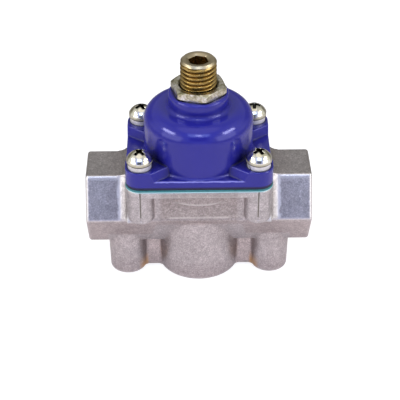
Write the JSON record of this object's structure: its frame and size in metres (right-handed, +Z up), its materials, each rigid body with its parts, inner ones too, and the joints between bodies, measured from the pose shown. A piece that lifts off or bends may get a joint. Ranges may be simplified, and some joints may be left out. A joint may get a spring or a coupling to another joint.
{
  "type": "fuel pressure regulator",
  "caption": "Adjustable bypass fuel pressure regulator: cast body with inlet, outlet and return ports, coloured spring cover, adjusting screw and jam nut.",
  "frame": {"origin": "centre of the return port's mouth, in the plane that the regulator stands on, under the adjusting screw", "axes": "+X from the inlet port to the outlet port, +Y to the back, +Z up along the adjusting screw"},
  "size_m": [0.081, 0.0414, 0.0845],
  "materials": {
    "cast_aluminium": "as cast, fine grain",
    "seat_brass": "turned",
    "gasket_teal": "matt",
    "diaphragm_rubber": "matt",
    "plate_steel": "pressed",
    "rivet_brass": "turned",
    "pad_rubber": "matt",
    "spring_steel": "drawn wire",
    "cover_blue": "gloss purple blue",
    "adjuster_yellow_zinc": "yellow zinc plated steel",
    "nut_zinc": "pale yellow zinc plated",
    "screw_zinc": "bright zinc plated",
    "washer_zinc": "bright zinc plated"
  },
  "bodies": {
    "housing": {"body_casting": "cast_aluminium", "return_seat": "seat_brass", "body_gasket": "gasket_teal", "diaphragm": "diaphragm_rubber", "main_spring": "spring_steel", "cover": "cover_blue", "lock_washer_front_left": "washer_zinc", "lock_washer_front_right": "washer_zinc", "lock_washer_rear_left": "washer_zinc", "lock_washer_rear_right": "washer_zinc", "cover_screw_front_left": "screw_zinc", "cover_screw_front_right": "screw_zinc", "cover_screw_rear_left": "screw_zinc", "cover_screw_rear_right": "screw_zinc"},
    "valve": {"lower_diaphragm_plate": "plate_steel", "upper_diaphragm_plate": "plate_steel", "diaphragm_rivet": "rivet_brass", "valve_pad": "pad_rubber"},
    "carrier": {"spring_button": "plate_steel"},
    "adjuster": {"adjusting_screw": "adjuster_yellow_zinc"},
    "nut": {"jam_nut": "nut_zinc"}
  },
  "joints": [
    {"name": "adjusting_screw_turn", "type": "hinge", "parent": "carrier", "child": "adjuster", "pos_m": [0, 0, 0.072], "axis": [0, 0, 1], "range_deg": [-900, 360]},
    {"name": "adjuster_travel", "type": "slide", "parent": "housing", "child": "carrier", "axis": [0, 0, 1], "range_m": [-0.00397, 0.00159], "deforming": ["main_spring"]},
    {"name": "jam_nut_turn", "type": "hinge", "parent": "housing", "child": "nut", "pos_m": [0, 0, 0.072], "axis": [0, 0, 1], "range_deg": [0, 180]},
    {"name": "valve_lift", "type": "slide", "parent": "housing", "child": "valve", "axis": [0, 0, 1], "range_m": [0, 0.0012], "stiffness_N_per_m": 4000, "springref_m": -0.006, "deforming": ["main_spring", "diaphragm"]}
  ],
  "couplings": [
    {"joint": "adjusting_screw_turn", "follows": "adjuster_travel", "rad_per_m": 3957.9}
  ]
}
